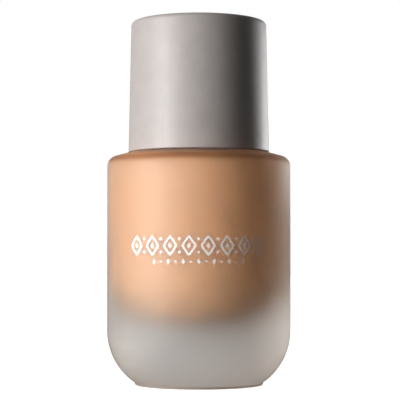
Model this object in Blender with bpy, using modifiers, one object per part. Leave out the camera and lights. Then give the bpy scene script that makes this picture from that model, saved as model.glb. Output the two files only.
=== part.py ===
"""A 30 ml foundation bottle: frosted thick-walled glass, a screw-on treatment pump and a tall overcap.

Run it with: blender --background --python part.py
Lengths are in metres, written as millimetres times MM. +Z is up, and the origin is the centre of the
base, on the surface that the bottle stands on. The pump's spout points along -Y.
Each piece is one object. Turned pieces are a profile of (radius, height) points with a Screw modifier.
"""

import math

import bmesh
import bpy
from mathutils import Matrix, Vector

MM = 0.001

# Driving dimensions of the glass
BODY_RADIUS = 21.5 * MM
HEEL_RADIUS = 14.8 * MM
HEEL_TOP = 12.7 * MM
FOOT_RIM = 0.5 * MM
SHOULDER_Z = 54.2 * MM
SHOULDER_FLAT_RADIUS = 16.2 * MM
SHOULDER_EDGE_Z = 52.8 * MM
SHOULDER_EDGE = 2.4 * MM
NECK_RADIUS = 8.9 * MM
NECK_HEIGHT = 9.0 * MM
NECK_BORE = 6.6 * MM
PUNT_RADIUS = 10.8 * MM
PUNT_DEPTH = 1.0 * MM
CAVITY_TOP_RADIUS = 18.0 * MM
CAVITY_TOP_FILLET = 4.2 * MM
CAVITY_TOP_Z = 52.5 * MM
CAVITY_FOOT_RADIUS = 16.0 * MM
CAVITY_FOOT_FILLET = 12.0 * MM
CAVITY_FLOOR_Z = 15.0 * MM
CAVITY_FLOOR_DISH = 0.6 * MM

# The screw finish: half-round beads of one pitch on the glass and in the closure, half a pitch apart
THREAD_PITCH = 3.175 * MM
THREAD_TURNS = 1.25
GLASS_BEAD = 1.05 * MM
GLASS_BEAD_RADIUS = 8.85 * MM
CLOSURE_BEAD = 0.95 * MM
CLOSURE_BEAD_RADIUS = 10.45 * MM
CLOSURE_BEAD_START_Z = 56.0 * MM

# Fits
GAP = 0.3 * MM  # between pieces that rest on each other
SLIDE = 0.1 * MM  # radial clearance of a sliding or turning fit

# The overcap
CAP_BOTTOM_Z = SHOULDER_Z + 0.25 * MM
CAP_TOP_Z = 85.0 * MM
CAP_BOTTOM_RADIUS = 16.5 * MM
CAP_TOP_RADIUS = 15.87 * MM
CAP_WALL = 1.4 * MM
CAP_EDGE = 1.1 * MM
INSERT_WALL = 1.0 * MM
INSERT_GAP = 0.25 * MM
GRIP_RIBS = 8

# The pump
STROKE = 4.0 * MM
STEM_RADIUS = 2.25 * MM
STEM_BORE = 1.3 * MM
CHAMBER_BORE = 4.3 * MM
CHAMBER_FLOOR_Z = 46.9 * MM
WELL_RADIUS = 2.0 * MM
WELL_DEPTH = 3.2 * MM
SEAT_RADIUS = 1.0 * MM
BALL_RADIUS = 1.5 * MM
TUBE_RADIUS = 1.5 * MM
TUBE_BORE = 1.0 * MM
TUBE_END_Z = 16.2 * MM
SPRING_RADIUS = 3.1 * MM
SPRING_WIRE = 0.55 * MM
SPRING_TURNS = 6
SLEEVE_RADIUS = 12.9 * MM
SLEEVE_TOP_Z = 71.6 * MM
BUTTON_RADIUS = 8.9 * MM
BUTTON_WALL = 0.9 * MM
BUTTON_TOP_Z = 81.5 * MM
SPOUT_Z = 77.5 * MM
SPOUT_RADIUS = 1.55 * MM
BOSS_RADIUS = 2.35 * MM
SPOUT_REACH = 12.6 * MM

# Segments round a turned piece
FINE = 48
COARSE = 24

# Heights of the stack on the neck, from the glass lip up
LIP_Z = SHOULDER_Z + NECK_HEIGHT
GASKET_Z = (LIP_Z + GAP, LIP_Z + GAP + 0.7 * MM)
FLANGE_Z = (GASKET_Z[1] + GAP, GASKET_Z[1] + GAP + 0.9 * MM)
CLOSURE_TOP_Z = FLANGE_Z[1] + GAP + 1.0 * MM
STEM_TOP_Z = SPOUT_Z - 1.5 * MM
PLUNGER_FOOT_Z = 55.6 * MM


def clear_scene():
    for obj in list(bpy.data.objects):
        bpy.data.objects.remove(obj, do_unlink=True)


def new_collection(name):
    collection = bpy.data.collections.new(name)
    bpy.context.scene.collection.children.link(collection)
    return collection


def material(name, colour, roughness, metallic=0.0, transmission=0.0):
    made = bpy.data.materials.new(name)
    made.use_nodes = True
    shader = made.node_tree.nodes["Principled BSDF"]
    shader.inputs["Base Color"].default_value = (*colour, 1.0)
    shader.inputs["Roughness"].default_value = roughness
    shader.inputs["Metallic"].default_value = metallic
    shader.inputs["Transmission Weight"].default_value = transmission
    made.diffuse_color = (*colour, 1.0)
    return made


# ---- Outlines: lists of (radius, height) points ----


def rounded(*corners, steps=4):
    """The outline through these corners, each (radius, height) or (radius, height, fillet radius)."""
    points = []
    for i, corner in enumerate(corners):
        here = Vector(corner[:2])
        if len(corner) == 2:
            points.append(tuple(here))
            continue
        to_last = (Vector(corners[i - 1][:2]) - here).normalized()
        to_next = (Vector(corners[(i + 1) % len(corners)][:2]) - here).normalized()
        half = to_last.angle(to_next) / 2
        reach = corner[2] / math.tan(half)
        centre = here + (to_last + to_next).normalized() * (corner[2] / math.sin(half))
        first = here + to_last * reach - centre
        turn = first.angle_signed(here + to_next * reach - centre)
        for step in range(steps + 1):
            angle = -turn * step / steps
            spoke = Matrix.Rotation(angle, 2) @ first
            points.append(tuple(centre + spoke))
    return points


def arc(centre, radii, start, end, steps):
    """Points on an ellipse's arc from start to end, in degrees."""
    angles = [math.radians(start + (end - start) * i / steps) for i in range(steps + 1)]
    return [(centre[0] + radii[0] * math.cos(a), centre[1] + radii[1] * math.sin(a)) for a in angles]


def cavity_outline(inset=0.0):
    """The glass's inner wall from the neck down to the axis, moved inwards by inset."""
    return rounded(
        (CAVITY_TOP_RADIUS - inset, CAVITY_TOP_Z - inset, CAVITY_TOP_FILLET - inset),
        (CAVITY_FOOT_RADIUS - inset, CAVITY_FLOOR_Z + inset, CAVITY_FOOT_FILLET - inset),
        (0.0, CAVITY_FLOOR_Z - CAVITY_FLOOR_DISH + inset),
        (0.0, CAVITY_TOP_Z),
        steps=6,
    )[:-1]


# ---- Makers: each returns one object in the parts collection ----


def link(name, mesh_or_curve, look):
    obj = bpy.data.objects.new(name, mesh_or_curve)
    mesh_or_curve.materials.append(look)
    parts.objects.link(obj)
    return obj


def turned(name, outline, look, segments=FINE, closed=True):
    """A solid of revolution. The outline runs down its outer side, then back up its inner side or the axis."""
    mesh = bpy.data.meshes.new(name)
    count = len(outline)
    edges = [(i, (i + 1) % count) for i in range(count if closed else count - 1)]
    mesh.from_pydata([(r, 0.0, z) for r, z in outline], edges, [])
    obj = link(name, mesh, look)
    screw = obj.modifiers.new("Turn", "SCREW")
    screw.axis = "Z"
    screw.steps = screw.render_steps = segments
    screw.use_merge_vertices = True
    screw.merge_threshold = 0.001 * MM
    screw.use_smooth_shade = True
    return obj


def as_mesh(obj):
    """Replaces a curve or a modified object by the mesh that it evaluates to, with its caps welded."""
    bpy.context.view_layer.update()
    graph = bpy.context.evaluated_depsgraph_get()
    mesh = bpy.data.meshes.new_from_object(obj.evaluated_get(graph))
    shape = bmesh.new()
    shape.from_mesh(mesh)
    bmesh.ops.remove_doubles(shape, verts=shape.verts, dist=0.001 * MM)
    shape.to_mesh(mesh)
    shape.free()
    name, matrix, home = obj.name, obj.matrix_world.copy(), obj.users_collection[0]
    bpy.data.objects.remove(obj, do_unlink=True)
    made = bpy.data.objects.new(name, mesh)
    made.matrix_world = matrix
    home.objects.link(made)
    return made


def as_helper(obj):
    """Moves an object out of the parts: it only cuts or joins another."""
    for collection in list(obj.users_collection):
        collection.objects.unlink(obj)
    helpers.objects.link(obj)
    obj.hide_render = True
    obj.display_type = "WIRE"
    return obj


def boolean(obj, other, operation):
    change = obj.modifiers.new(operation.title(), "BOOLEAN")
    change.operation = operation
    change.object = as_helper(other)
    change.solver = "EXACT"
    return obj


def rod(name, radius, length, centre, along, look, segments=COARSE):
    """A cylinder of that length, centred there, along the axis X, Y or Z."""
    mesh = bpy.data.meshes.new(name)
    shape = bmesh.new()
    bmesh.ops.create_cone(
        shape, cap_ends=True, segments=segments, radius1=radius, radius2=radius, depth=length
    )
    turn = {"X": Matrix.Rotation(math.pi / 2, 4, "Y"), "Y": Matrix.Rotation(math.pi / 2, 4, "X")}
    bmesh.ops.transform(shape, matrix=turn.get(along, Matrix.Identity(4)), verts=shape.verts)
    shape.to_mesh(mesh)
    shape.free()
    obj = link(name, mesh, look)
    obj.location = centre
    return obj


def block(name, size, centre, turn, look):
    """A box of that size, centred there, turned about Z."""
    mesh = bpy.data.meshes.new(name)
    shape = bmesh.new()
    bmesh.ops.create_cube(shape, size=1.0)
    bmesh.ops.scale(shape, vec=size, verts=shape.verts)
    shape.to_mesh(mesh)
    shape.free()
    obj = link(name, mesh, look)
    obj.location = centre
    obj.rotation_euler = (0.0, 0.0, turn)
    return obj


def round_wire(name, points, thickness, look, sides=2, taper=0):
    """A round bar along these points. Its first and last points taper when taper is set."""
    curve = bpy.data.curves.new(name, "CURVE")
    curve.dimensions = "3D"
    curve.bevel_depth = thickness
    curve.bevel_resolution = sides
    curve.use_fill_caps = True
    curve.twist_mode = "Z_UP"
    spline = curve.splines.new("POLY")
    spline.points.add(len(points) - 1)
    for i, point in enumerate(points):
        spline.points[i].co = (*point, 1.0)
        from_end = min(i, len(points) - 1 - i)
        if from_end < taper:
            spline.points[i].radius = 0.45 + 0.55 * from_end / taper
    return link(name, curve, look)


def thread_bead(name, bead_radius, path_radius, start_z, look):
    """A right-hand half-round thread: one bead that climbs a pitch each turn and runs out at both ends."""
    per_turn = 32
    count = round(per_turn * THREAD_TURNS)
    points = []
    for i in range(count + 1):
        angle = 2 * math.pi * i / per_turn
        height = start_z + THREAD_PITCH * i / per_turn
        points.append((path_radius * math.cos(angle), path_radius * math.sin(angle), height))
    return as_mesh(round_wire(name, points, bead_radius, look, sides=1, taper=4))


# ---- The bottle ----


def make_glass_bottle():
    heel_x = BODY_RADIUS - HEEL_RADIUS
    heel_end = math.degrees(math.asin((HEEL_TOP - FOOT_RIM) / HEEL_RADIUS))
    shoulder = rounded(
        (NECK_RADIUS, SHOULDER_Z),
        (SHOULDER_FLAT_RADIUS, SHOULDER_Z, 1.0 * MM),
        (BODY_RADIUS, SHOULDER_EDGE_Z, SHOULDER_EDGE),
        (BODY_RADIUS, HEEL_TOP),
        steps=4,
    )[1:-1]
    heel = arc((heel_x, HEEL_TOP), (HEEL_RADIUS, HEEL_RADIUS), 0, -heel_end, 9)
    neck = rounded(
        (NECK_BORE, LIP_Z, 0.5 * MM),
        (NECK_RADIUS, LIP_Z, 0.5 * MM),
        (NECK_RADIUS, SHOULDER_Z, 0.5 * MM),
        (SHOULDER_FLAT_RADIUS, SHOULDER_Z),
        (NECK_BORE, LIP_Z - NECK_HEIGHT),
        steps=3,
    )[:-2]
    base = rounded(
        (BODY_RADIUS, HEEL_TOP),
        (heel[-1][0] - 0.15 * MM, 0.0),
        (PUNT_RADIUS + 0.5 * MM, 0.0),
        (PUNT_RADIUS, PUNT_DEPTH, 0.3 * MM),
        (0.0, PUNT_DEPTH),
        (0.0, HEEL_TOP),
        steps=3,
    )[1:-1]
    inside = cavity_outline()[::-1]
    throat = rounded(
        (NECK_BORE, LIP_Z),
        (NECK_BORE, CAVITY_TOP_Z, 1.2 * MM),
        (CAVITY_TOP_RADIUS, CAVITY_TOP_Z),
        steps=3,
    )[1:-1][::-1]
    outline = neck + shoulder + heel + base + inside + throat
    bottle = turned("glass_bottle", outline, glass, closed=False)
    # The last throat point meets the first lip point, so the outline is closed by joining them
    mesh = bottle.data
    mesh.edges.add(1)
    mesh.edges[-1].vertices = (len(outline) - 1, 0)
    bead = thread_bead(
        "glass_thread",
        GLASS_BEAD,
        GLASS_BEAD_RADIUS,
        CLOSURE_BEAD_START_Z + THREAD_PITCH / 2,
        glass,
    )
    return boolean(bottle, bead, "UNION")


def make_foundation_fill():
    """The liquid, with a hole where the pump and its tube stand in it."""
    cavity = cavity_outline(GAP)
    fill_top = CAVITY_TOP_Z - GAP
    socket_bottom = CHAMBER_FLOOR_Z - WELL_DEPTH - 6.8 * MM
    outline = [(5.5 * MM + 2 * GAP, fill_top)]
    outline += cavity[:-1]
    outline += [
        (TUBE_RADIUS + GAP, CAVITY_FLOOR_Z - CAVITY_FLOOR_DISH + GAP),
        (TUBE_RADIUS + GAP, socket_bottom - 2 * GAP),
        (2.7 * MM + 2 * GAP, socket_bottom - GAP),
        (2.7 * MM + 2 * GAP, CHAMBER_FLOOR_Z - WELL_DEPTH - GAP),
        (5.5 * MM + 2 * GAP, CHAMBER_FLOOR_Z - 2.0 * MM),
    ]
    return turned("foundation_fill", outline, liquid, segments=36)


def make_base_label():
    top = PUNT_DEPTH - GAP
    outline = [
        (0.0, top),
        (PUNT_RADIUS - 0.9 * MM, top),
        (PUNT_RADIUS - 0.9 * MM, top - 0.2 * MM),
        (0.0, top - 0.2 * MM),
    ]
    return turned("base_label", outline, paper, segments=36, closed=False)


# ---- The closure, which screws onto the neck ----


def make_pump_closure():
    outer = SLEEVE_RADIUS - 1.25 * MM
    bottom = CAP_BOTTOM_Z + GAP
    outline = rounded(
        (7.4 * MM, CLOSURE_TOP_Z),
        (outer, CLOSURE_TOP_Z, 0.5 * MM),
        (outer, bottom),
        (CLOSURE_BEAD_RADIUS - 0.05 * MM, bottom),
        (CLOSURE_BEAD_RADIUS - 0.05 * MM, CLOSURE_TOP_Z - 1.0 * MM),
        (7.4 * MM, CLOSURE_TOP_Z - 1.0 * MM),
        steps=2,
    )
    closure = turned("pump_closure", outline, natural)
    bead = thread_bead(
        "closure_thread", CLOSURE_BEAD, CLOSURE_BEAD_RADIUS, CLOSURE_BEAD_START_Z, natural
    )
    return boolean(closure, bead, "UNION")


def make_closure_sleeve():
    inner = SLEEVE_RADIUS - 0.95 * MM
    bottom = CAP_BOTTOM_Z + GAP
    opening = BUTTON_RADIUS + 0.4 * MM
    outline = rounded(
        (opening, SLEEVE_TOP_Z, 0.3 * MM),
        (SLEEVE_RADIUS, SLEEVE_TOP_Z, 0.6 * MM),
        (SLEEVE_RADIUS, bottom, 0.2 * MM),
        (inner, bottom),
        (inner, SLEEVE_TOP_Z - 0.9 * MM),
        (opening, SLEEVE_TOP_Z - 0.9 * MM),
        steps=2,
    )
    return turned("closure_sleeve", outline, greige)


# ---- The pump ----


def make_neck_gasket():
    low, high = GASKET_Z
    outline = [(9.4 * MM, high), (9.4 * MM, low), (6.5 * MM, low), (6.5 * MM, high)]
    return turned("neck_gasket", outline, seal, segments=36)


def make_pump_housing():
    """The cylinder: a flange on the neck, the chamber, the ball's well and seat, and the tube's socket."""
    low, high = FLANGE_Z
    well_z = CHAMBER_FLOOR_Z - WELL_DEPTH
    seat_z = well_z - 1.3 * MM
    socket_top = seat_z - 0.8 * MM
    socket_bottom = well_z - 6.8 * MM
    outline = rounded(
        (CHAMBER_BORE, high),
        (9.3 * MM, high),
        (9.3 * MM, low),
        (6.1 * MM, low),
        (6.1 * MM, low - 4.0 * MM),
        (5.5 * MM, low - 5.0 * MM),
        (5.5 * MM, CHAMBER_FLOOR_Z - 1.2 * MM, 1.0 * MM),
        (3.1 * MM, well_z + 0.4 * MM),
        (2.7 * MM, seat_z),
        (2.5 * MM, socket_bottom),
        (TUBE_RADIUS + 0.15 * MM, socket_bottom),
        (TUBE_RADIUS + 0.15 * MM, socket_top),
        (SEAT_RADIUS, socket_top),
        (SEAT_RADIUS, seat_z),
        (WELL_RADIUS, well_z),
        (WELL_RADIUS, CHAMBER_FLOOR_Z),
        (CHAMBER_BORE, CHAMBER_FLOOR_Z),
        steps=2,
    )
    housing = turned("pump_housing", outline, natural, segments=COARSE)
    nub = 1.0 * MM
    for i in range(3):
        angle = 2 * math.pi * i / 3
        spot = (WELL_RADIUS - 0.3 * MM, CHAMBER_FLOOR_Z - 0.25 * MM)
        centre = (spot[0] * math.cos(angle), spot[0] * math.sin(angle), spot[1])
        cage = block(f"ball_cage_{i + 1}", (nub, 0.7 * MM, 0.3 * MM), centre, angle, natural)
        boolean(housing, cage, "UNION")
    return housing


def make_stem_guide():
    """The ring in the housing's mouth: a plug, a flange and the tube that the stem slides in."""
    bore = STEM_RADIUS + 2 * SLIDE
    flange_low = FLANGE_Z[1] + GAP
    flange_high = flange_low + 0.8 * MM
    outline = rounded(
        (bore, flange_high + 1.4 * MM),
        (3.5 * MM, flange_high + 1.4 * MM, 0.3 * MM),
        (3.5 * MM, flange_high),
        (6.9 * MM, flange_high),
        (6.9 * MM, flange_low),
        (CHAMBER_BORE - 0.15 * MM, flange_low),
        (CHAMBER_BORE - 0.15 * MM, flange_low - 3.2 * MM),
        (bore, flange_low - 3.2 * MM),
        steps=2,
    )
    return turned("stem_guide", outline, natural, segments=COARSE)


def make_pump_stem():
    """The hollow stem, with the collar that pushes the piston down."""
    collar_z = PLUNGER_FOOT_Z + 5.7 * MM
    foot_z = PLUNGER_FOOT_Z + 1.6 * MM
    outline = [
        (STEM_BORE, STEM_TOP_Z),
        (STEM_RADIUS, STEM_TOP_Z),
        (STEM_RADIUS, collar_z + 0.6 * MM),
        (3.0 * MM, collar_z + 0.5 * MM),
        (3.0 * MM, collar_z),
        (STEM_RADIUS, collar_z),
        (STEM_RADIUS, foot_z),
        (STEM_BORE, foot_z),
    ]
    return turned("pump_stem", outline, natural, segments=COARSE)


def make_piston_seal():
    """The sliding cup: a sleeve on the stem and two lips that wipe the chamber."""
    low = PLUNGER_FOOT_Z + 1.3 * MM
    high = low + 3.4 * MM
    wipe = CHAMBER_BORE - SLIDE
    outline = [
        (STEM_RADIUS + SLIDE, high),
        (3.0 * MM, high),
        (3.0 * MM, low + 2.2 * MM),
        (wipe - 0.5 * MM, high - 0.3 * MM),
        (wipe, high - 0.3 * MM),
        (wipe - 0.25 * MM, low + 1.7 * MM),
        (wipe, low + 0.2 * MM),
        (wipe - 0.5 * MM, low + 0.2 * MM),
        (3.2 * MM, low + 1.3 * MM),
        (3.0 * MM, low),
        (STEM_RADIUS + SLIDE, low),
    ]
    return turned("piston_seal", outline, seal, segments=COARSE)


def make_piston_seat():
    """The disc that the piston closes on, with a finned rod up into the stem and a spigot for the spring."""
    disc_z = PLUNGER_FOOT_Z
    outline = [
        (0.0, disc_z + 1.0 * MM),
        (3.6 * MM, disc_z + 1.0 * MM),
        (3.6 * MM, disc_z),
        (2.2 * MM, disc_z),
        (1.9 * MM, disc_z - 2.0 * MM),
        (0.0, disc_z - 2.0 * MM),
    ]
    seat = turned("piston_seat", outline, natural, segments=COARSE, closed=False)
    for i in range(2):
        fin = block(
            f"seat_fin_{i + 1}",
            (2.2 * MM, 0.7 * MM, 5.0 * MM),
            (0.0, 0.0, disc_z + 3.2 * MM),
            i * math.pi / 2,
            natural,
        )
        boolean(seat, fin, "UNION")
    return seat


def make_pump_spring():
    """The return spring: closed coils at both ends and open coils between them."""
    low = CHAMBER_FLOOR_Z + GAP + SPRING_WIRE / 2
    high = PLUNGER_FOOT_Z - GAP - SPRING_WIRE / 2
    per_turn = 14
    count = per_turn * SPRING_TURNS
    dead = SPRING_WIRE * 1.12
    open_rise = (high - low - 2 * dead) / (SPRING_TURNS - 2)
    points = []
    for i in range(count + 1):
        turns = i / per_turn
        closed_turns = min(turns, 1.0) + max(turns - (SPRING_TURNS - 1), 0.0)
        height = low + closed_turns * dead + (turns - closed_turns) * open_rise
        angle = 2 * math.pi * turns
        points.append((SPRING_RADIUS * math.cos(angle), SPRING_RADIUS * math.sin(angle), height))
    return round_wire("pump_spring", points, SPRING_WIRE / 2, steel, sides=1)


def make_inlet_ball():
    """The check ball, just off its seat. Its origin is its centre."""
    mesh = bpy.data.meshes.new("inlet_ball")
    shape = bmesh.new()
    bmesh.ops.create_uvsphere(shape, u_segments=20, v_segments=12, radius=BALL_RADIUS)
    shape.to_mesh(mesh)
    shape.free()
    ball = link("inlet_ball", mesh, steel)
    ball.location = (0.0, 0.0, CHAMBER_FLOOR_Z - WELL_DEPTH + 0.25 * MM)
    return ball


def make_dip_tube():
    """The suction tube, cut at a slant so that its end can't seal on the glass floor."""
    top = CHAMBER_FLOOR_Z - WELL_DEPTH - 2.4 * MM
    outline = [
        (TUBE_BORE, top),
        (TUBE_RADIUS, top),
        (TUBE_RADIUS, TUBE_END_Z),
        (TUBE_BORE, TUBE_END_Z),
    ]
    tube = turned("dip_tube", outline, natural, segments=COARSE)
    cutter = block("slant_cut", (8 * MM, 8 * MM, 3 * MM), (0.0, 0.0, TUBE_END_Z - 0.9 * MM), 0.0, natural)
    cutter.rotation_euler = (0.0, math.radians(30), 0.0)
    return boolean(tube, cutter, "DIFFERENCE")


# ---- The button ----


def make_actuator_core():
    """The button's inner body: the stem's socket, the channel to the spout, and the plate under the shell."""
    socket_bore = STEM_RADIUS + SLIDE
    socket_low = 72.3 * MM
    plate_high = BUTTON_TOP_Z - 1.3 * MM - GAP
    plate_low = plate_high - 0.8 * MM
    outline = [
        (0.0, plate_high),
        (BUTTON_RADIUS - BUTTON_WALL - GAP, plate_high),
        (BUTTON_RADIUS - BUTTON_WALL - GAP, plate_low),
        (3.5 * MM, plate_low),
        (3.4 * MM, socket_low),
        (socket_bore, socket_low),
        (socket_bore, STEM_TOP_Z + GAP),
        (STEM_BORE - 0.1 * MM, STEM_TOP_Z + GAP),
        (STEM_BORE - 0.1 * MM, SPOUT_Z),
        (0.0, SPOUT_Z),
    ]
    core = turned("actuator_core", outline, natural, segments=COARSE, closed=False)
    boss_end = BUTTON_RADIUS - BUTTON_WALL - GAP - 0.5 * MM
    socket_start = 5.4 * MM
    boss = rod(
        "core_boss", BOSS_RADIUS, boss_end - 2.6 * MM, (0, -(boss_end + 2.6 * MM) / 2, SPOUT_Z), "Y", natural
    )
    boolean(core, boss, "UNION")
    channel = rod("core_channel", 0.9 * MM, 8.6 * MM, (0, -4.3 * MM, SPOUT_Z), "Y", natural, 16)
    boolean(core, channel, "DIFFERENCE")
    socket = rod(
        "spout_socket",
        SPOUT_RADIUS + 0.2 * MM,
        boss_end + 1.0 * MM - socket_start,
        (0, -(boss_end + 1.0 * MM + socket_start) / 2, SPOUT_Z),
        "Y",
        natural,
    )
    return boolean(core, socket, "DIFFERENCE")


def make_actuator_shell():
    """The button's outer cup, with a dished top for the fingertip and a hole for the spout."""
    bottom = SLEEVE_TOP_Z - 0.5 * MM
    inner = BUTTON_RADIUS - BUTTON_WALL
    dish = 0.45 * MM
    dish_radius = 7.4 * MM
    dish_points = [
        (dish_radius * i / 4, BUTTON_TOP_Z - dish * (1 - (i / 4) ** 2)) for i in range(5)
    ]
    rim = rounded(
        (dish_radius, BUTTON_TOP_Z),
        (BUTTON_RADIUS, BUTTON_TOP_Z, 0.8 * MM),
        (BUTTON_RADIUS, bottom),
        (inner, bottom),
        (inner, BUTTON_TOP_Z - 1.3 * MM),
        (0.0, BUTTON_TOP_Z - 1.3 * MM),
        steps=3,
    )[1:]
    shell = turned("actuator_shell", dish_points + rim, greige, closed=False)
    hole = rod("spout_hole", SPOUT_RADIUS + 0.25 * MM, 4 * MM, (0, -BUTTON_RADIUS, SPOUT_Z), "Y", greige)
    return boolean(shell, hole, "DIFFERENCE")


def make_nozzle_insert():
    """The spout: a tapered tube with a flared mouth, turned about its own axis and laid along -Y."""
    start = 5.7 * MM
    length = SPOUT_REACH - start
    outline = rounded(
        (0.75 * MM, length),
        (SPOUT_RADIUS - 0.3 * MM, length, 0.2 * MM),
        (SPOUT_RADIUS, 2.6 * MM),
        (SPOUT_RADIUS, 0.0),
        (0.75 * MM, 0.0),
        steps=2,
    )
    nozzle = turned("nozzle_insert", outline, greige, segments=COARSE)
    nozzle.location = (0.0, -start, SPOUT_Z)
    nozzle.rotation_euler = (math.pi / 2, 0.0, 0.0)
    return nozzle


# ---- The overcap ----


def cap_radius(z):
    """The overcap's outer radius at this height: it tapers a little towards its top."""
    share = (z - CAP_BOTTOM_Z) / (CAP_TOP_Z - CAP_BOTTOM_Z)
    return CAP_BOTTOM_RADIUS + (CAP_TOP_RADIUS - CAP_BOTTOM_RADIUS) * share


def make_overcap_shell():
    inner_top = CAP_TOP_Z - 1.6 * MM
    outline = rounded(
        (0.0, CAP_TOP_Z),
        (CAP_TOP_RADIUS, CAP_TOP_Z, CAP_EDGE),
        (CAP_BOTTOM_RADIUS, CAP_BOTTOM_Z, 0.2 * MM),
        (CAP_BOTTOM_RADIUS - CAP_WALL, CAP_BOTTOM_Z, 0.2 * MM),
        (cap_radius(inner_top) - CAP_WALL, inner_top),
        (0.0, inner_top),
        steps=3,
    )
    return turned("overcap_shell", outline, greige, closed=False)


def make_overcap_insert():
    """The liner glued inside the overcap, whose ribs grip the sleeve."""
    low = CAP_BOTTOM_Z + 1.1 * MM
    high = CAP_TOP_Z - 1.6 * MM - GAP
    wall = CAP_WALL + INSERT_GAP
    outline = rounded(
        (0.0, high),
        (cap_radius(high) - wall, high, 0.6 * MM),
        (cap_radius(low) - wall, low),
        (cap_radius(low) - wall - INSERT_WALL, low),
        (cap_radius(high) - wall - INSERT_WALL, high - 0.9 * MM),
        (0.0, high - 0.9 * MM),
        steps=2,
    )
    insert = turned("overcap_insert", outline, natural, closed=False)
    tip = SLEEVE_RADIUS + 0.3 * MM
    root = cap_radius(low) - wall - 0.4 * MM
    for i in range(GRIP_RIBS):
        angle = 2 * math.pi * (i + 0.5) / GRIP_RIBS
        middle = (tip + root) / 2
        centre = (middle * math.cos(angle), middle * math.sin(angle), low + 5.3 * MM)
        rib = block(f"grip_rib_{i + 1}", (root - tip, 0.8 * MM, 9.6 * MM), centre, angle, natural)
        boolean(insert, rib, "UNION")
    return insert


clear_scene()
parts = new_collection("foundation_bottle")
helpers = new_collection("cutters_and_joiners")
glass = material("frosted_glass", (0.86, 0.85, 0.83), 0.45, transmission=1.0)
liquid = material("foundation", (0.71, 0.43, 0.24), 0.35)
greige = material("greige_plastic", (0.56, 0.51, 0.49), 0.42)
natural = material("natural_plastic", (0.85, 0.85, 0.82), 0.35)
seal = material("seal_plastic", (0.93, 0.93, 0.90), 0.5)
steel = material("stainless_steel", (0.60, 0.60, 0.60), 0.25, metallic=1.0)
paper = material("label_paper", (0.85, 0.83, 0.80), 0.7)

make_glass_bottle()
make_foundation_fill()
make_base_label()
make_pump_closure()
make_closure_sleeve()
make_neck_gasket()
make_pump_housing()
make_stem_guide()
make_pump_stem()
make_piston_seal()
make_piston_seat()
make_pump_spring()
make_inlet_ball()
make_dip_tube()
make_actuator_core()
make_actuator_shell()
make_nozzle_insert()
make_overcap_shell()
make_overcap_insert()
bpy.context.view_layer.update()
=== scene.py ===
"""Looks of the foundation bottle: fine turned meshes over the CAD frame, their materials, and the studio.

The spout points along -Y, and so does the printed front of the glass. All sizes are in metres, in the
row frame, with the origin at the centre of the base.
"""

import math

import bmesh
import bpy
from mathutils import Matrix, Vector


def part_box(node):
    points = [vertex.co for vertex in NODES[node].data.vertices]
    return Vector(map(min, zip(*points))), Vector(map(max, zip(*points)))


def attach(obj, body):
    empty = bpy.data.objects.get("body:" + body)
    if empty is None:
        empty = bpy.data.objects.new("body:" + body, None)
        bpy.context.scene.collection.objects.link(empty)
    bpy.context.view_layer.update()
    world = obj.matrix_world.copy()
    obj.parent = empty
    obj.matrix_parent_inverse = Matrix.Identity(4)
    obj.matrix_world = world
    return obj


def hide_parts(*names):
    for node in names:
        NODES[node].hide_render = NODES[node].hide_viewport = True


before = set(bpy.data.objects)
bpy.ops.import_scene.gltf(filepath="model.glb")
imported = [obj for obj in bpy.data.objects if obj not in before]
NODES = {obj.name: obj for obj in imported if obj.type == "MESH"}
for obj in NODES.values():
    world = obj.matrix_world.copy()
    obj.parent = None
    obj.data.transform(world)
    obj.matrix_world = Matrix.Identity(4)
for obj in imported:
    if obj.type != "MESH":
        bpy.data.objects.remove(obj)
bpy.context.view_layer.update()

MM = 0.001
ROUND = 160  # segments round a large piece


def low(node):
    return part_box(node)[0]


def high(node):
    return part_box(node)[1]


# ---- Outlines: lists of (radius, height) points ----


def rounded(*corners, steps=6):
    """The outline through these corners, each (radius, height) or (radius, height, fillet radius)."""
    points = []
    for i, corner in enumerate(corners):
        here = Vector(corner[:2])
        if len(corner) == 2:
            points.append(tuple(here))
            continue
        to_last = (Vector(corners[i - 1][:2]) - here).normalized()
        to_next = (Vector(corners[(i + 1) % len(corners)][:2]) - here).normalized()
        half = to_last.angle(to_next) / 2
        centre = here + (to_last + to_next).normalized() * (corner[2] / math.sin(half))
        reach = corner[2] / math.tan(half)
        first = here + to_last * reach - centre
        turn = first.angle_signed(here + to_next * reach - centre)
        for step in range(steps + 1):
            spoke = Matrix.Rotation(-turn * step / steps, 2) @ first
            points.append(tuple(centre + spoke))
    return points


def arc(centre, radii, start, end, steps):
    """Points on an ellipse's arc from start to end, in degrees."""
    angles = [math.radians(start + (end - start) * i / steps) for i in range(steps + 1)]
    return [(centre[0] + radii[0] * math.cos(a), centre[1] + radii[1] * math.sin(a)) for a in angles]


def dense(points, step):
    """The same outline with extra points, none further apart than step."""
    out = [points[0]]
    for a, b in zip(points, points[1:]):
        count = max(1, math.ceil(math.dist(a, b) / step))
        for i in range(1, count + 1):
            out.append((a[0] + (b[0] - a[0]) * i / count, a[1] + (b[1] - a[1]) * i / count))
    return out


# ---- Meshes ----


def finish_piece(name, shape, materials, body, replaced=(), smooth=40):
    """Makes the object from a bmesh, rides it on its body and hides the CAD nodes that it stands for."""
    bmesh.ops.recalc_face_normals(shape, faces=shape.faces)
    mesh = bpy.data.meshes.new(name)
    shape.to_mesh(mesh)
    shape.free()
    for made in materials:
        mesh.materials.append(made)
    mesh.shade_smooth()
    mesh.set_sharp_from_angle(angle=math.radians(smooth))
    obj = bpy.data.objects.new(name, mesh)
    bpy.context.scene.collection.objects.link(obj)
    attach(obj, body)
    if replaced:
        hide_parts(*replaced)
    return obj


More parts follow.
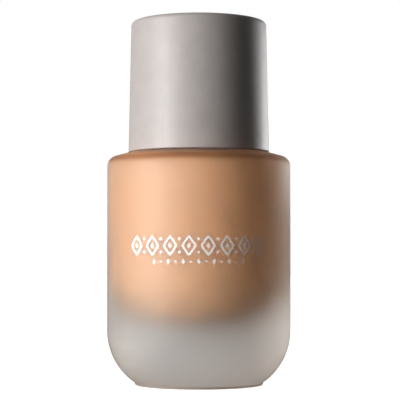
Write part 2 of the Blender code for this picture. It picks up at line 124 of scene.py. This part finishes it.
def spun(outline, segments=ROUND, radius_at=None, slot_at=None, closed=False):
    """A bmesh turned from an outline, which ends on the axis at both ends or is closed.

    radius_at(angle, radius, height) may change a point's radius, and slot_at(index) gives the material
    slot of the band that starts at that point of the outline.
    """
    shape = bmesh.new()
    rings = []
    for r, z in outline:
        if r < 1e-7:
            rings.append([shape.verts.new((0.0, 0.0, z))])
            continue
        ring = []
        for i in range(segments):
            angle = 2 * math.pi * i / segments
            radius = radius_at(angle, r, z) if radius_at else r
            ring.append(shape.verts.new((radius * math.cos(angle), radius * math.sin(angle), z)))
        rings.append(ring)
    count = len(rings)
    for k in range(count if closed else count - 1):
        a, b = rings[k], rings[(k + 1) % count]
        for i in range(segments):
            j = (i + 1) % segments
            if len(a) == 1 and len(b) == 1:
                break
            if len(a) == 1:
                corners = (a[0], b[i], b[j])
            elif len(b) == 1:
                corners = (a[i], b[0], a[j])
            else:
                corners = (a[i], b[i], b[j], a[j])
            face = shape.faces.new(corners)
            face.material_index = slot_at(k) if slot_at else 0
    return shape


# ---- Materials ----


def new_material(name):
    made = bpy.data.materials.new(name)
    made.use_nodes = True
    tree = made.node_tree
    return made, tree, tree.nodes["Principled BSDF"]


def noise(tree, scale, detail=2.0, roughness=0.5):
    """A noise texture on the object's own coordinates, in features per metre."""
    place = tree.nodes.new("ShaderNodeTexCoord")
    made = tree.nodes.new("ShaderNodeTexNoise")
    made.inputs["Scale"].default_value = scale
    made.inputs["Detail"].default_value = detail
    made.inputs["Roughness"].default_value = roughness
    tree.links.new(place.outputs["Object"], made.inputs["Vector"])
    return made


def spread(tree, source, low_value, high_value, start=0.35, end=0.65):
    """Maps a texture's middle range onto low_value to high_value."""
    made = tree.nodes.new("ShaderNodeMapRange")
    made.inputs["From Min"].default_value = start
    made.inputs["From Max"].default_value = end
    made.inputs["To Min"].default_value = low_value
    made.inputs["To Max"].default_value = high_value
    tree.links.new(source, made.inputs["Value"])
    return made.outputs["Result"]


def ramp(tree, source, *stops):
    """A colour ramp with these (position, linear colour) stops."""
    made = tree.nodes.new("ShaderNodeValToRGB")
    line = made.color_ramp
    while len(line.elements) < len(stops):
        line.elements.new(0.5)
    for element, (position, colour) in zip(line.elements, stops):
        element.position = position
        element.color = (*colour, 1.0)
    tree.links.new(source, made.inputs["Fac"])
    return made.outputs["Color"]


def grain(tree, shader, scale, depth, second=None):
    """A fine bump: depth is in metres."""
    made = tree.nodes.new("ShaderNodeBump")
    made.inputs["Strength"].default_value = 1.0
    made.inputs["Distance"].default_value = depth
    tree.links.new(noise(tree, scale, 3.0).outputs["Fac"], made.inputs["Height"])
    if second:
        wide = tree.nodes.new("ShaderNodeBump")
        wide.inputs["Strength"].default_value = 1.0
        wide.inputs["Distance"].default_value = second[1]
        tree.links.new(noise(tree, second[0], 1.0).outputs["Fac"], wide.inputs["Height"])
        tree.links.new(made.outputs["Normal"], wide.inputs["Normal"])
        made = wide
    tree.links.new(made.outputs["Normal"], shader.inputs["Normal"])


def plastic(name, colour, roughness, shade=0.04, bump=(5200, 0.000004), wide=(110, 0.00001), subsurface=0.0):
    """Moulded plastic: slight mottling, uneven satin and a fine eroded texture."""
    made, tree, shader = new_material(name)
    dark = tuple(c * (1 - shade) for c in colour)
    light = tuple(min(1.0, c * (1 + shade)) for c in colour)
    tone = ramp(tree, noise(tree, 260, 4.0).outputs["Fac"], (0.3, dark), (0.7, light))
    tree.links.new(tone, shader.inputs["Base Color"])
    uneven = spread(tree, noise(tree, 900, 3.0).outputs["Fac"], roughness - 0.03, roughness + 0.04)
    tree.links.new(uneven, shader.inputs["Roughness"])
    shader.inputs["IOR"].default_value = 1.49
    if subsurface:
        shader.inputs["Subsurface Weight"].default_value = subsurface
        shader.inputs["Subsurface Radius"].default_value = (0.002, 0.002, 0.0018)
        shader.inputs["Subsurface Scale"].default_value = 1.0
    grain(tree, shader, *bump, second=wide)
    return made


SHOULDER_PAINTED_SHADE = (50.8 * MM, 54.2 * MM)  # heights of the thick shoulder, where a painted shade darkens the glass's colour
COLOUR_A, COLOUR_B, COLOUR_RESULT = 6, 7, 2  # a Mix node's sockets for colours, which share their names


def frosted_glass():
    """Acid-etched glass: mostly rough transmission, with a little of the etch's own white haze.

    The thick corner of the shoulder turns the view aside, so a painted shade, a dark brown ring, stands in
    for it there.
    """
    made, tree, shader = new_material("frosted_glass_etched")
    tone = ramp(
        tree, noise(tree, 300, 3.0).outputs["Fac"], (0.3, (0.965, 0.94, 0.905)), (0.7, (1.0, 0.975, 0.94))
    )
    height = tree.nodes.new("ShaderNodeSeparateXYZ")
    tree.links.new(tree.nodes.new("ShaderNodeTexCoord").outputs["Object"], height.inputs[0])
    along = spread(tree, height.outputs["Z"], 0.0, 1.0, *SHOULDER_PAINTED_SHADE)
    # painted shade: white below the shoulder, dark brown round its corner, a lighter tan from its top up
    band = ramp(
        tree,
        along,
        (0.0, (1.0, 1.0, 1.0)),
        (0.18, (1.0, 0.95, 0.88)),
        (0.4, (0.5, 0.37, 0.28)),
        (0.6, (0.5, 0.37, 0.28)),
        (0.78, (1.0, 0.85, 0.7)),
    )
    shade_painted = tree.nodes.new("ShaderNodeMix")
    shade_painted.data_type = "RGBA"
    shade_painted.blend_type = "MULTIPLY"
    shade_painted.inputs["Factor"].default_value = 1.0
    tree.links.new(tone, shade_painted.inputs[COLOUR_A])
    tree.links.new(band, shade_painted.inputs[COLOUR_B])
    tree.links.new(shade_painted.outputs[COLOUR_RESULT], shader.inputs["Base Color"])
    uneven = spread(tree, noise(tree, 1400, 3.0).outputs["Fac"], 0.57, 0.63)
    tree.links.new(uneven, shader.inputs["Roughness"])
    shader.inputs["IOR"].default_value = 1.5
    shader.inputs["Transmission Weight"].default_value = 0.9
    grain(tree, shader, 7000, 0.000004, second=(90, 0.000012))
    return made


def clear_glass():
    """The unetched inner wall of the bottle."""
    made, tree, shader = new_material("frosted_glass_inner")
    tone = ramp(
        tree, noise(tree, 200, 2.0).outputs["Fac"], (0.3, (0.95, 0.96, 0.95)), (0.7, (0.98, 0.98, 0.98))
    )
    tree.links.new(tone, shader.inputs["Base Color"])
    uneven = spread(tree, noise(tree, 500, 2.0).outputs["Fac"], 0.05, 0.10)
    tree.links.new(uneven, shader.inputs["Roughness"])
    shader.inputs["IOR"].default_value = 1.5
    shader.inputs["Transmission Weight"].default_value = 1.0
    grain(tree, shader, 300, 0.00001)
    return made


def foundation():
    """The liquid make-up: an opaque tan cream with faint swirls of pigment."""
    made, tree, shader = new_material("foundation_liquid")
    swirl = noise(tree, 120, 4.0, 0.6)
    swirl.inputs["Distortion"].default_value = 1.6
    tone = ramp(tree, swirl.outputs["Fac"], (0.3, (0.95, 0.468, 0.163)), (0.7, (0.99, 0.492, 0.175)))
    tree.links.new(tone, shader.inputs["Base Color"])
    uneven = spread(tree, noise(tree, 700, 2.0).outputs["Fac"], 0.6, 0.7)
    tree.links.new(uneven, shader.inputs["Roughness"])
    shader.inputs["IOR"].default_value = 1.5
    shader.inputs["Specular IOR Level"].default_value = 1.0
    shader.inputs["Coat Weight"].default_value = 1.0
    shader.inputs["Coat Roughness"].default_value = 0.7
    grain(tree, shader, 500, 0.00002)
    return made


def metal(name, colour, roughness):
    """Bright drawn or polished steel with fine uneven polish."""
    made, tree, shader = new_material(name)
    dark = tuple(c * 0.9 for c in colour)
    tone = ramp(tree, noise(tree, 1500, 3.0).outputs["Fac"], (0.3, dark), (0.7, colour))
    tree.links.new(tone, shader.inputs["Base Color"])
    uneven = spread(tree, noise(tree, 3000, 3.0).outputs["Fac"], roughness - 0.05, roughness + 0.08)
    tree.links.new(uneven, shader.inputs["Roughness"])
    shader.inputs["Metallic"].default_value = 1.0
    grain(tree, shader, 6000, 0.000003)
    return made


def paper(name, colour):
    """Matt label paper with fibres."""
    made, tree, shader = new_material(name)
    fibres = noise(tree, 2600, 5.0, 0.7)
    dark = tuple(c * 0.93 for c in colour)
    tone = ramp(tree, fibres.outputs["Fac"], (0.3, dark), (0.7, colour))
    tree.links.new(tone, shader.inputs["Base Color"])
    uneven = spread(tree, fibres.outputs["Fac"], 0.72, 0.85)
    tree.links.new(uneven, shader.inputs["Roughness"])
    grain(tree, shader, 3200, 0.00001)
    return made


GREIGE = (0.415, 0.377, 0.361)
greige = plastic("greige_satin", GREIGE, 0.5)
greige_button = plastic("greige_satin_button", GREIGE, 0.5)
natural = plastic("natural_polypropylene", (0.80, 0.80, 0.77), 0.33, shade=0.03, subsurface=0.5)
seal = plastic("seal_elastomer", (0.82, 0.82, 0.79), 0.55, shade=0.05)
ink = plastic("white_print_ink", (0.97, 0.945, 0.91), 0.5, shade=0.03, bump=(9000, 0.000003))
steel = metal("bright_steel", (0.62, 0.61, 0.60), 0.2)
label = paper("blank_label_paper", (0.82, 0.80, 0.76))
etched = frosted_glass()
inner_glass = clear_glass()
liquid = foundation()

# ---- The glass ----

INK = 0.04 * MM  # the print stands this much proud of the glass, so the glass is that much smaller
BODY_R = high("glass_bottle").x - INK
LIP_Z = high("glass_bottle").z
HEEL_R = 14.8 * MM - INK
HEEL_TOP = 12.7 * MM
FOOT_RIM = 0.5 * MM
SHOULDER_Z = 54.2 * MM
SHOULDER_FLAT_R = 16.2 * MM
SHOULDER_EDGE_Z = 52.8 * MM
SHOULDER_EDGE = 2.4 * MM
NECK_R = 8.9 * MM
BORE_R = 6.6 * MM
PUNT_R = 10.8 * MM
PUNT_TOP = 1.0 * MM
CAVITY_TOP = (18.0 * MM, 52.2 * MM, 3.2 * MM)
CAVITY_FOOT = (16.0 * MM, 15.0 * MM, 12.0 * MM)
CAVITY_FLOOR = 14.4 * MM
PITCH = 3.175 * MM
BEAD_R = 1.05 * MM
BEAD_CENTRE_R = 8.85 * MM
BEAD_START_Z = 56.0 * MM + PITCH / 2
BEAD_TURNS = 1.25


def thread_radius(angle, r, z):
    """Adds the screw thread's half-round bead to the outside of the neck."""
    if abs(r - NECK_R) > 0.01 * MM:
        return r
    best = r
    for turn in range(2):
        along = angle / (2 * math.pi) + turn
        if not 0 <= along <= BEAD_TURNS:
            continue
        fade = min(1.0, along / 0.12, (BEAD_TURNS - along) / 0.12)
        size = BEAD_R * (0.3 + 0.7 * math.sin(fade * math.pi / 2))
        away = abs(z - BEAD_START_Z - PITCH * along)
        if away < size:
            best = max(best, BEAD_CENTRE_R + math.sqrt(size * size - away * away) - 0.03 * MM)
    return best


def make_glass():
    """The bottle as one closed shell: etched outside, clear inside, with the thread's bead on its neck."""
    heel_end = math.degrees(math.asin((HEEL_TOP - FOOT_RIM) / HEEL_R))
    heel = arc((BODY_R - HEEL_R, HEEL_TOP), (HEEL_R, HEEL_R), 0, -heel_end, 40)
    shoulder = rounded(
        (NECK_R, SHOULDER_Z),
        (SHOULDER_FLAT_R, SHOULDER_Z, 1.0 * MM),
        (BODY_R, SHOULDER_EDGE_Z, SHOULDER_EDGE),
        (BODY_R, HEEL_TOP),
        steps=12,
    )[1:-1]
    neck_steps = 6
    neck = rounded(
        (BORE_R, LIP_Z, 0.5 * MM),
        (NECK_R, LIP_Z, 0.5 * MM),
        (NECK_R, SHOULDER_Z, 0.5 * MM),
        (SHOULDER_FLAT_R, SHOULDER_Z),
        (BORE_R, SHOULDER_Z),
        steps=neck_steps,
    )[:-2]
    below_lip = 2 * (neck_steps + 1)  # the first point after the lip's two fillets
    threaded = dense(neck[below_lip - 1 : below_lip + 1], 0.12 * MM)[1:]
    neck = neck[:below_lip] + threaded + neck[below_lip + 1 :]
    foot = heel[-1][0]
    base = rounded(
        (BODY_R, HEEL_TOP),
        (foot - 0.1 * MM, 0.0, 0.25 * MM),
        (PUNT_R + 0.5 * MM, 0.0, 0.2 * MM),
        (PUNT_R, PUNT_TOP, 0.3 * MM),
        (0.0, PUNT_TOP),
        (0.0, HEEL_TOP),
        steps=4,
    )[1:-1]
    outside = neck + shoulder + dense([shoulder[-1], heel[0]], 2 * MM)[1:] + heel[1:] + base
    inside = rounded(
        CAVITY_TOP,
        CAVITY_FOOT,
        (0.0, CAVITY_FLOOR),
        (0.0, CAVITY_TOP[1]),
        steps=16,
    )[:-1][::-1]
    throat = rounded(
        (BORE_R, LIP_Z),
        (BORE_R, CAVITY_TOP[1], 1.2 * MM),
        CAVITY_TOP[:2],
        steps=6,
    )[1:-1][::-1]
    outline = outside + inside + throat
    first_inner = len(outside)
    return finish_piece(
        "bottle_glass",
        spun(
            outline,
            radius_at=thread_radius,
            slot_at=lambda k: 1 if first_inner <= k < len(outline) - 1 else 0,
            closed=True,
        ),
        [etched, inner_glass],
        "bottle",
        ["glass_bottle"],
        smooth=50,
    )


def make_liquid():
    """The liquid wets the inner wall, climbs it a little at the top, and stays clear of the pump."""
    into = 0.02 * MM
    top = 52.1 * MM
    round_pump, round_socket, round_tube = 6.1 * MM, 3.3 * MM, 2.1 * MM
    cavity = rounded(
        (CAVITY_TOP[0] + into, CAVITY_TOP[1] + into, CAVITY_TOP[2]),
        (CAVITY_FOOT[0] + into, CAVITY_FOOT[1] - into, CAVITY_FOOT[2]),
        (0.0, CAVITY_FLOOR - into),
        (0.0, CAVITY_TOP[1]),
        steps=16,
    )[:-1]
    wall = [p for p in cavity if p[1] < top + 0.15 * MM]
    edge = wall[0]
    surface = [(round_pump, top), (edge[0] - 1.5 * MM, top), (edge[0] - 0.6 * MM, top + 0.04 * MM)]
    under_tube = CAVITY_FLOOR + 0.4 * MM
    hole = [
        (round_pump, 45.6 * MM),
        (round_socket, 43.4 * MM),
        (round_socket, 36.6 * MM),
        (round_tube, 36.3 * MM),
        (round_tube, under_tube),
        (0.0, under_tube),
    ]
    outline = [(0.0, CAVITY_FLOOR - into)] + wall[:-1][::-1] + surface[::-1] + hole
    return finish_piece(
        "foundation_liquid", spun(outline), [liquid], "bottle", ["foundation_fill"]
    )


make_glass()
make_liquid()

# ---- The overcap ----

CAP_TOP_Z = high("overcap_shell").z
CAP_LOW_Z = low("overcap_shell").z - 0.15 * MM  # the moulded edge comes down almost onto the glass
CAP_LOW_R = high("overcap_shell").x
CAP_TOP_R = 15.87 * MM
CAP_WALL = 1.4 * MM


def cap_radius(z):
    """The outer radius of the tapered overcap at this height."""
    return CAP_LOW_R + (CAP_TOP_R - CAP_LOW_R) * (z - CAP_LOW_Z) / (CAP_TOP_Z - CAP_LOW_Z)


def make_cap():
    """The overcap's shell, open below, with a small fillet round its top."""
    roof = CAP_TOP_Z - 1.6 * MM
    outline = rounded(
        (0.0, CAP_TOP_Z),
        (CAP_TOP_R, CAP_TOP_Z, 1.1 * MM),
        (CAP_LOW_R, CAP_LOW_Z, 0.28 * MM),
        (CAP_LOW_R - CAP_WALL, CAP_LOW_Z, 0.2 * MM),
        (cap_radius(roof) - CAP_WALL, roof, 0.3 * MM),
        (0.0, roof),
        steps=8,
    )
    return finish_piece(
        "cap_shell", spun(dense(outline, 3 * MM)), [greige], "overcap", ["overcap_shell"]
    )


make_cap()

# ---- The pump's visible top ----

SLEEVE_R = high("closure_sleeve").x
SLEEVE_TOP_Z = high("closure_sleeve").z
SLEEVE_LOW_Z = low("closure_sleeve").z
BUTTON_R = high("actuator_shell").x
BUTTON_TOP_Z = high("actuator_shell").z
BUTTON_LOW_Z = low("actuator_shell").z
SPOUT_Z = (high("nozzle_insert").z + low("nozzle_insert").z) / 2
SPOUT_R = 1.55 * MM
SPOUT_REACH = -low("nozzle_insert").y


def make_sleeve():
    """The collar under the button: a satin cup with a fine step round its foot and a rolled mouth."""
    opening = BUTTON_R + 0.35 * MM
    step = 1.1 * MM
    outline = rounded(
        (opening, SLEEVE_TOP_Z - 0.9 * MM, 0.15 * MM),
        (opening, SLEEVE_TOP_Z, 0.35 * MM),
        (SLEEVE_R, SLEEVE_TOP_Z, 0.7 * MM),
        (SLEEVE_R, SLEEVE_LOW_Z + step, 0.12 * MM),
        (SLEEVE_R - 0.18 * MM, SLEEVE_LOW_Z + step - 0.18 * MM, 0.05 * MM),
        (SLEEVE_R - 0.18 * MM, SLEEVE_LOW_Z, 0.15 * MM),
        (SLEEVE_R - 0.95 * MM, SLEEVE_LOW_Z, 0.15 * MM),
        (SLEEVE_R - 0.95 * MM, SLEEVE_TOP_Z - 0.9 * MM, 0.2 * MM),
        steps=5,
    )
    return finish_piece(
        "collar_sleeve", spun(outline, closed=True), [greige], "closure", ["closure_sleeve"]
    )


def make_button():
    """The button: a cup whose dished top has a soft rim."""
    wall = 0.9 * MM
    dish_r, dish = 7.3 * MM, 0.45 * MM
    roof = BUTTON_TOP_Z - 1.3 * MM
    top = [(dish_r * i / 14, BUTTON_TOP_Z - dish * (1 - (i / 14) ** 2) ** 1.5) for i in range(15)]
    rim = rounded(
        top[-2],
        (dish_r + 0.3 * MM, BUTTON_TOP_Z, 0.3 * MM),
        (BUTTON_R, BUTTON_TOP_Z, 0.85 * MM),
        (BUTTON_R, BUTTON_LOW_Z, 0.2 * MM),
        (BUTTON_R - wall, BUTTON_LOW_Z, 0.2 * MM),
        (BUTTON_R - wall, roof, 0.5 * MM),
        (0.0, roof),
        steps=7,
    )[1:]
    return finish_piece(
        "button_cup", spun(top + rim), [greige_button], "actuator", ["actuator_shell"]
    )


def make_spout():
    """The spout and its collar: a tapered tube along -Y with a flared, softly rounded mouth."""
    start = 5.7 * MM
    length = SPOUT_REACH - start
    root = BUTTON_R - start - 0.25 * MM
    outline = rounded(
        (0.62 * MM, 0.0),
        (SPOUT_R, 0.0),
        (SPOUT_R, root, 0.1 * MM),
        (SPOUT_R + 0.5 * MM, root, 0.1 * MM),
        (SPOUT_R + 0.4 * MM, root + 0.6 * MM, 0.25 * MM),
        (SPOUT_R - 0.12 * MM, root + 0.75 * MM, 0.3 * MM),
        (SPOUT_R - 0.34 * MM, length - 0.7 * MM, 0.8 * MM),
        (SPOUT_R - 0.2 * MM, length, 0.22 * MM),
        (0.85 * MM, length, 0.18 * MM),
        (0.62 * MM, length - 0.9 * MM, 0.3 * MM),
        steps=5,
    )
    shape = spun(outline, segments=64, closed=True)
    turn = Matrix.Translation((0.0, -start, SPOUT_Z)) @ Matrix.Rotation(math.pi / 2, 4, "X")
    bmesh.ops.transform(shape, matrix=turn, verts=shape.verts)
    return finish_piece(
        "spout_tube", shape, [greige_button], "actuator", ["nozzle_insert"]
    )


make_sleeve()
make_button()
make_spout()

# ---- The print: a plain ornament of lozenges in white ink, where the real bottle carries words ----

INK_OUT = high("glass_bottle").x - 0.002 * MM
INK_IN = BODY_R - 0.02 * MM


def on_glass(radius, across, up):
    """The point on the body, this far to the right of the front's middle and this high."""
    angle = across / BODY_R - math.pi / 2
    return (radius * math.cos(angle), radius * math.sin(angle), up)


def lozenge(centre, half, sides=40, curve=1.12):
    """A lozenge's edge as (across, up) points, its sides bowed out a little."""
    points = []
    for i in range(sides):
        a = 2 * math.pi * i / sides
        c, s = math.cos(a), math.sin(a)
        reach = (abs(c) ** curve + abs(s) ** curve) ** (-1 / curve)
        points.append((centre[0] + half[0] * reach * c, centre[1] + half[1] * reach * s))
    return points


def ink_ring(shape, outer, inner):
    """A closed stroke of ink between two edges with as many points each."""
    loops = []
    for edge in (outer, inner):
        for radius in (INK_OUT, INK_IN):
            loops.append([shape.verts.new(on_glass(radius, *point)) for point in edge])
    for a, b in ((0, 2), (1, 3), (0, 1), (2, 3)):
        for i in range(len(outer)):
            j = (i + 1) % len(outer)
            shape.faces.new((loops[a][i], loops[a][j], loops[b][j], loops[b][i]))


def ink_spot(shape, edge):
    """A closed spot of ink inside an edge."""
    loops = [[shape.verts.new(on_glass(radius, *point)) for point in edge] for radius in (INK_OUT, INK_IN)]
    for i in range(len(edge)):
        j = (i + 1) % len(edge)
        shape.faces.new((loops[0][i], loops[0][j], loops[1][j], loops[1][i]))
    for loop in loops:
        shape.faces.new(loop)


def make_print():
    """A row of lozenge rings with dots between them, and a row of small marks below."""
    shape = bmesh.new()
    cells, pitch, middle = 8, 4.3 * MM, 32.3 * MM
    half = (1.72 * MM, 2.35 * MM)
    hollow = (half[0] - 0.58 * MM, half[1] - 0.72 * MM)
    for i in range(cells):
        across = (i - (cells - 1) / 2) * pitch
        inner = lozenge((across, middle), hollow)
        ink_ring(shape, lozenge((across, middle), half), inner)
        ink_spot(shape, lozenge((across, middle), (0.46 * MM, 0.66 * MM), sides=20))
        if i < cells - 1:
            for up in (-1.45 * MM, 1.45 * MM):
                dot = lozenge((across + pitch / 2, middle + up), (0.36 * MM, 0.36 * MM), 16, 2.0)
                ink_spot(shape, dot)
    marks, mark_pitch, mark_height = 13, 1.72 * MM, 28.75 * MM
    for i in range(marks):
        across = (i - marks // 2) * mark_pitch
        size = (0.42 * MM, 0.66 * MM) if i % 2 == 0 else (0.42 * MM, 0.24 * MM)
        ink_spot(shape, lozenge((across, mark_height), size, sides=16))
    return finish_piece("front_print", shape, [ink], "bottle", smooth=30)


make_print()

# ---- CAD nodes that keep their shape ----

for names, made in (
    (("overcap_insert", "pump_closure", "pump_housing", "stem_guide", "pump_stem"), natural),
    (("piston_seat", "dip_tube", "actuator_core"), natural),
    (("neck_gasket", "piston_seal"), seal),
    (("pump_spring", "inlet_ball"), steel),
    (("base_label",), label),
):
    for name in names:
        mesh = NODES[name].data
        mesh.materials.clear()
        mesh.materials.append(made)

# ---- The studio ----

FILL = 0.008  # how strongly the studio's dark side lights the object
SWEEP = 0.45  # how strongly the white sweep behind lights it
SIDE = 1.4  # how much more its right end, which stands in full light, adds
LOBES = (  # azimuth, weakest and strongest light, and where between them it starts and ends
    (167, FILL, SWEEP, 0.47, 0.64),
    (127, 0.0, SIDE, 0.85, 0.97),
)


def area_light(
    name, azimuth, elevation, distance, size, power, aim=(0.0, 0.0, 0.043), spread=180, shape="RECTANGLE"
):
    """A soft panel that faces aim, from azimuth degrees right of the front and elevation above level."""
    light = bpy.data.lights.new(name, "AREA")
    light.shape = shape
    light.size, light.size_y = size
    light.energy = power
    light.spread = math.radians(spread)
    obj = bpy.data.objects.new(name, light)
    a, e = math.radians(azimuth), math.radians(elevation)
    away = Vector((math.sin(a) * math.cos(e), -math.cos(a) * math.cos(e), math.sin(e)))
    obj.location = Vector(aim) + away * distance
    obj.rotation_euler = away.to_track_quat("Z", "Y").to_euler()
    bpy.context.scene.collection.objects.link(obj)
    return obj


def make_floor():
    """A plain pale floor, evenly white to the camera and dimmer to the object, so that it adds no glare."""
    shape = bmesh.new()
    bmesh.ops.create_grid(shape, x_segments=1, y_segments=1, size=2.0)
    mesh = bpy.data.meshes.new("floor")
    shape.to_mesh(mesh)
    shape.free()
    made, tree, shader = new_material("floor_white")
    shader.inputs["Roughness"].default_value = 0.8
    shader.inputs["Emission Color"].default_value = (1, 1, 1, 1)
    seen = tree.nodes.new("ShaderNodeLightPath").outputs["Is Camera Ray"]
    tone = ramp(tree, seen, (0.0, (0.18, 0.175, 0.165)), (1.0, (0.9, 0.9, 0.9)))
    tree.links.new(tone, shader.inputs["Base Color"])
    far = tree.nodes.new("ShaderNodeVectorMath")
    far.operation = "LENGTH"
    tree.links.new(tree.nodes.new("ShaderNodeTexCoord").outputs["Object"], far.inputs[0])
    whiter = tree.nodes.new("ShaderNodeMath")
    whiter.operation = "MULTIPLY"
    tree.links.new(spread(tree, far.outputs["Value"], 0.88, 1.0, 0.05, 0.3), whiter.inputs[0])
    tree.links.new(seen, whiter.inputs[1])
    tree.links.new(whiter.outputs["Value"], shader.inputs["Emission Strength"])
    mesh.materials.append(made)
    obj = bpy.data.objects.new("floor", mesh)
    bpy.context.scene.collection.objects.link(obj)


def make_world():
    """The camera sees a white sweep; the object is lit by it only dimly, so that the panels model it."""
    world = bpy.data.worlds.new("studio")
    bpy.context.scene.world = world
    world.use_nodes = True
    tree = world.node_tree
    background = tree.nodes["Background"]
    background.inputs["Color"].default_value = (1, 1, 1, 1)
    place = tree.nodes.new("ShaderNodeTexCoord")
    parts = []
    for azimuth, dim, bright, start, end in LOBES:
        turn = math.radians(azimuth)
        toward = tree.nodes.new("ShaderNodeVectorMath")
        toward.operation = "DOT_PRODUCT"
        toward.inputs[1].default_value = (math.sin(turn), -math.cos(turn), 0.0)
        tree.links.new(place.outputs["Generated"], toward.inputs[0])
        parts.append(spread(tree, toward.outputs["Value"], dim, bright, start, end))
    both = tree.nodes.new("ShaderNodeMath")
    tree.links.new(parts[0], both.inputs[0])
    tree.links.new(parts[1], both.inputs[1])
    sweep = both.outputs["Value"]
    seen = tree.nodes.new("ShaderNodeLightPath").outputs["Is Camera Ray"]
    larger = tree.nodes.new("ShaderNodeMath")
    larger.operation = "MAXIMUM"
    tree.links.new(sweep, larger.inputs[0])
    tree.links.new(seen, larger.inputs[1])
    tree.links.new(larger.outputs["Value"], background.inputs["Strength"])


def make_camera():
    """A long lens in front, below the shoulder's height and tilted up a little."""
    camera = bpy.data.cameras.new("camera")
    camera.lens = 137.3
    camera.sensor_width = 36.0
    camera.clip_start = 0.01
    camera.clip_end = 20.0
    obj = bpy.data.objects.new("camera", camera)
    obj.location = (0.00028, -0.358, 0.0301)
    obj.rotation_euler = (math.radians(92.08), 0.0, 0.0)
    bpy.context.scene.collection.objects.link(obj)
    bpy.context.scene.camera = obj


bpy.context.scene.view_settings.view_transform = "Standard"
make_floor()
make_world()
make_camera()
area_light("key_left", -57, 5, 0.7, (0.34, 0.2), 7.0)
area_light("rim_right", 139, 0, 0.3, (0.1, 0.06), 0.008, aim=(0.0, 0.0, 0.08), spread=9)
area_light(
    "top_spot", 0, 90, 0.3, (0.026, 0.026), 0.002, aim=(0.0, 0.0, CAP_TOP_Z), spread=1.5, shape="ELLIPSE"
)
